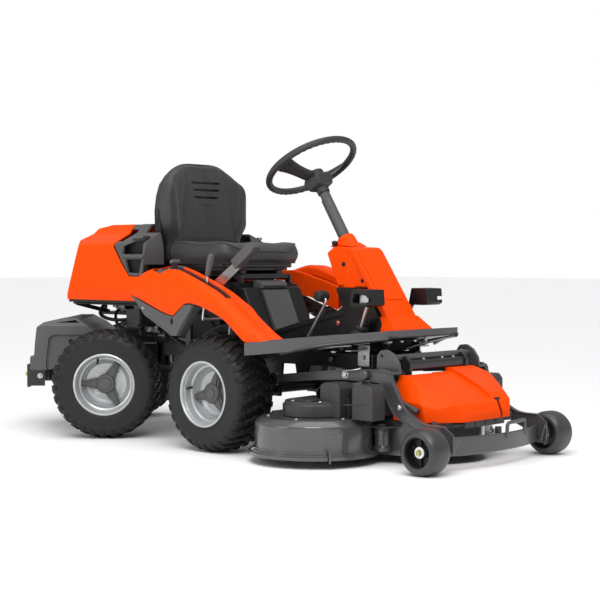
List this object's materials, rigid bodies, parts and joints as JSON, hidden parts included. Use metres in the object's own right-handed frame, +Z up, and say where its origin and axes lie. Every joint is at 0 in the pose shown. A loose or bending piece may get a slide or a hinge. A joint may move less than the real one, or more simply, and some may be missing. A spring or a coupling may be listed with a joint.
{
  "type": "riding lawn mower",
  "caption": "Ride-on mower with a front-mounted cutting deck, articulated rear axle, orange body panels, low-back seat and steering column.",
  "frame": {"origin": "on the ground, under the middle of the whole machine's box at rest", "axes": "+Z up, -Y to the machine's front (the cutting deck), +X to its left"},
  "size_m": [1.1191, 2.2148, 1.086],
  "materials": {
    "orange_panel": "smooth painted finish",
    "grey_plastic": "fine grained",
    "black_plastic": "fine grained",
    "black_steel": "satin powder coat",
    "grey_steel": "semi-gloss powder coat",
    "silver_steel": "zinc plated",
    "grip_grey": "moulded grip",
    "rim_paint": "silver paint",
    "tyre_rubber": "lugged tread, smooth sidewall",
    "wheel_rubber": "moulded",
    "soft_grip": "soft touch",
    "seat_vinyl": "grained vinyl",
    "tank_plastic": "translucent moulding",
    "engine_metal": "cast, satin",
    "belt_rubber": "ribbed"
  },
  "bodies": {
    "chassis": {"main_frame": "black_steel", "front_axle": "black_steel", "footplate": "grey_plastic", "steering_console": "orange_panel", "console_tunnel": "black_plastic", "steering_column": "black_steel", "seat_pedestal": "black_plastic", "front_cover": "grey_plastic", "battery": "black_plastic", "fuel_tank": "tank_plastic", "engine_block": "engine_metal", "muffler": "black_steel", "intake_grille": "grey_plastic", "right_fender": "orange_panel", "left_fender": "orange_panel", "side_trims": "grey_plastic", "throttle_panel": "grey_plastic", "control_rods": "silver_steel"},
    "crank": {"engine_pulley": "silver_steel"},
    "bogie": {"bogie_frame": "black_steel", "transaxle": "engine_metal", "rear_cover": "grey_plastic", "tow_bracket": "black_steel"},
    "wheel_front_right": {"tyre_front_right": "tyre_rubber", "rim_front_right": "rim_paint", "hub_cover_front_right": "grey_plastic"},
    "wheel_front_left": {"tyre_front_left": "tyre_rubber", "rim_front_left": "rim_paint", "hub_cover_front_left": "grey_plastic"},
    "wheel_rear_right": {"tyre_rear_right": "tyre_rubber", "rim_rear_right": "rim_paint", "hub_cover_rear_right": "grey_plastic"},
    "wheel_rear_left": {"tyre_rear_left": "tyre_rubber", "rim_rear_left": "rim_paint", "hub_cover_rear_left": "grey_plastic"},
    "steering": {"steering_wheel": "soft_grip", "steering_hub": "soft_grip"},
    "seat_base": {"seat_bracket": "black_steel"},
    "seat": {"seat_pan": "black_steel", "seat_cushion": "seat_vinyl", "seat_backrest": "seat_vinyl"},
    "hood": {"engine_hood": "orange_panel"},
    "throttle": {"throttle_lever": "grey_plastic"},
    "height_control": {"height_lever": "silver_steel"},
    "lift_control": {"lift_lever": "grip_grey"},
    "drive_foot": {"drive_pedal": "black_plastic"},
    "reverse_foot": {"reverse_pedal": "silver_steel"},
    "brake_foot": {"brake_pedal": "black_plastic"},
    "parking_lock": {"lock_button": "black_plastic"},
    "key": {"ignition_key": "silver_steel"},
    "carrier": {"equipment_frame": "grey_steel"},
    "deck": {"deck_shell": "grey_steel", "belt_cover": "grey_plastic", "belt_guard": "orange_panel", "deck_belt": "belt_rubber"},
    "spindle_right": {"blade_right": "silver_steel"},
    "spindle_middle": {"blade_middle": "silver_steel"},
    "spindle_left": {"blade_left": "silver_steel"},
    "support_right": {"deck_wheel_right": "wheel_rubber"},
    "support_left": {"deck_wheel_left": "wheel_rubber"}
  },
  "joints": [
    {"name": "bogie_steer", "type": "hinge", "parent": "chassis", "child": "bogie", "pos_m": [0.0136, 0.5406, 0.294], "axis": [0, 0, 1], "range_deg": [-87.3, 2.7]},
    {"name": "steering_turn", "type": "hinge", "parent": "chassis", "child": "steering", "pos_m": [0.0136, -0.2844, 0.937], "axis": [0, 0.5299, 0.848], "range_deg": [-22, 699]},
    {"name": "front_right_roll", "type": "hinge", "parent": "chassis", "child": "wheel_front_right", "pos_m": [-0.3614, -0.1704, 0.2], "axis": [1, 0, 0], "continuous": true},
    {"name": "front_left_roll", "type": "hinge", "parent": "chassis", "child": "wheel_front_left", "pos_m": [0.3886, -0.1704, 0.2], "axis": [1, 0, 0], "continuous": true},
    {"name": "rear_right_roll", "type": "hinge", "parent": "bogie", "child": "wheel_rear_right", "pos_m": [-0.37817, 0.41396, 0.2], "axis": [0.7396, 0.673, 0], "continuous": true},
    {"name": "rear_left_roll", "type": "hinge", "parent": "bogie", "child": "wheel_rear_left", "pos_m": [0.17655, 0.91872, 0.2], "axis": [0.7396, 0.673, 0], "continuous": true},
    {"name": "crank_spin", "type": "hinge", "parent": "chassis", "child": "crank", "pos_m": [0.0136, 0.5896, 0.384], "axis": [0, 0, 1], "continuous": true},
    {"name": "seat_tilt", "type": "hinge", "parent": "chassis", "child": "seat_base", "pos_m": [0.0136, -0.0204, 0.591], "axis": [1, 0, 0], "range_deg": [0, 45]},
    {"name": "seat_slide", "type": "slide", "parent": "seat_base", "child": "seat", "axis": [0, -1, 0], "range_m": [-0.02, 0.08]},
    {"name": "hood_open", "type": "hinge", "parent": "chassis", "child": "hood", "pos_m": [0.0136, 0.7426, 0.488], "axis": [-1, 0, 0], "range_deg": [0, 60]},
    {"name": "throttle_swing", "type": "hinge", "parent": "chassis", "child": "throttle", "pos_m": [-0.3764, 0.0416, 0.585], "axis": [1, 0, 0], "range_deg": [-18, 18]},
    {"name": "deck_height", "type": "slide", "parent": "carrier", "child": "deck", "axis": [0, 0, 1], "range_m": [0, 0.05]},
    {"name": "height_lever_swing", "type": "hinge", "parent": "chassis", "child": "height_control", "pos_m": [-0.2534, -0.1104, 0.34], "axis": [1, 0, 0], "range_deg": [0, 26.2]},
    {"name": "deck_lift", "type": "hinge", "parent": "chassis", "child": "carrier", "pos_m": [0.0136, -0.3204, 0.25], "axis": [-1, 0, 0], "range_deg": [0, 5]},
    {"name": "lift_lever_swing", "type": "hinge", "parent": "chassis", "child": "lift_control", "pos_m": [-0.3164, 0.0596, 0.455], "axis": [-1, 0, 0], "range_deg": [0, 35]},
    {"name": "drive_press", "type": "hinge", "parent": "chassis", "child": "drive_foot", "pos_m": [-0.1064, -0.5704, 0.362], "axis": [1, 0, 0], "range_deg": [0, 15], "stiffness_Nm_per_rad": 30, "springref_deg": -5.73},
    {"name": "reverse_press", "type": "hinge", "parent": "chassis", "child": "reverse_foot", "pos_m": [-0.1364, -0.3564, 0.358], "axis": [1, 0, 0], "range_deg": [0, 15], "stiffness_Nm_per_rad": 30, "springref_deg": -5.73},
    {"name": "brake_press", "type": "hinge", "parent": "chassis", "child": "brake_foot", "pos_m": [0.1336, -0.5704, 0.362], "axis": [1, 0, 0], "range_deg": [0, 20], "stiffness_Nm_per_rad": 30, "springref_deg": -5.73},
    {"name": "lock_press", "type": "slide", "parent": "chassis", "child": "parking_lock", "axis": [0, 0, 1], "range_m": [-0.006, 0], "stiffness_N_per_m": 400, "springref_m": 0.005},
    {"name": "key_turn", "type": "hinge", "parent": "chassis", "child": "key", "pos_m": [-0.3524, 0.1116, 0.6], "axis": [0, 0, 1], "range_deg": [0, 60]},
    {"name": "blade_middle_spin", "type": "hinge", "parent": "deck", "child": "spindle_middle", "pos_m": [0.0136, -0.7704, 0.062], "axis": [0, 0, 1], "continuous": true},
    {"name": "blade_right_spin", "type": "hinge", "parent": "deck", "child": "spindle_right", "pos_m": [-0.3164, -0.5704, 0.062], "axis": [0, 0, 1], "continuous": true},
    {"name": "blade_left_spin", "type": "hinge", "parent": "deck", "child": "spindle_left", "pos_m": [0.3436, -0.5704, 0.062], "axis": [0, 0, 1], "continuous": true},
    {"name": "support_right_roll", "type": "hinge", "parent": "carrier", "child": "support_right", "pos_m": [-0.3254, -1.0344, 0.073], "axis": [1, 0, 0], "continuous": true},
    {"name": "support_left_roll", "type": "hinge", "parent": "carrier", "child": "support_left", "pos_m": [0.3526, -1.0344, 0.073], "axis": [1, 0, 0], "continuous": true}
  ],
  "couplings": [
    {"joint": "steering_turn", "follows": "bogie_steer", "ratio": -8},
    {"joint": "blade_right_spin", "follows": "blade_middle_spin", "ratio": 1},
    {"joint": "blade_left_spin", "follows": "blade_middle_spin", "ratio": 1},
    {"joint": "height_lever_swing", "follows": "deck_height", "rad_per_m": 9.0757},
    {"joint": "lift_lever_swing", "follows": "deck_lift", "ratio": 7}
  ]
}
